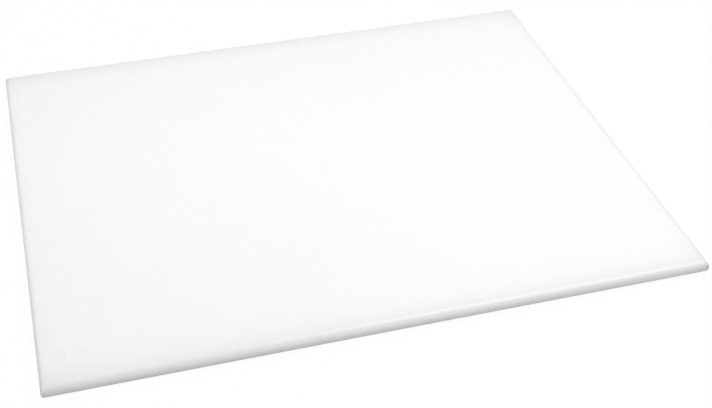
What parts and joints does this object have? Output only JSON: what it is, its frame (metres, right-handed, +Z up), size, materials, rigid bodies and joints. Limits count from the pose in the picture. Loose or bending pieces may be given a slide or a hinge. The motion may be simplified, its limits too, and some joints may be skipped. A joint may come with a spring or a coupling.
{
  "type": "cutting board",
  "caption": "Flat rectangular kitchen cutting board of white plastic with fully rounded edges, usable on either face, with small round moulded marks in one corner.",
  "frame": {"origin": "middle of the underside, at the centre of the board's bounding box in X and Y", "axes": "+X along the board's length, +Y along its width away from the marked front edge, +Z up out of the cutting face"},
  "size_m": [0.6096, 0.4572, 0.0127],
  "materials": {
    "white_polyethylene": "satin white polyethylene, fine moulded grain, slightly translucent at its edges"
  },
  "bodies": {
    "root": {"board": "white_polyethylene"}
  },
  "joints": []
}
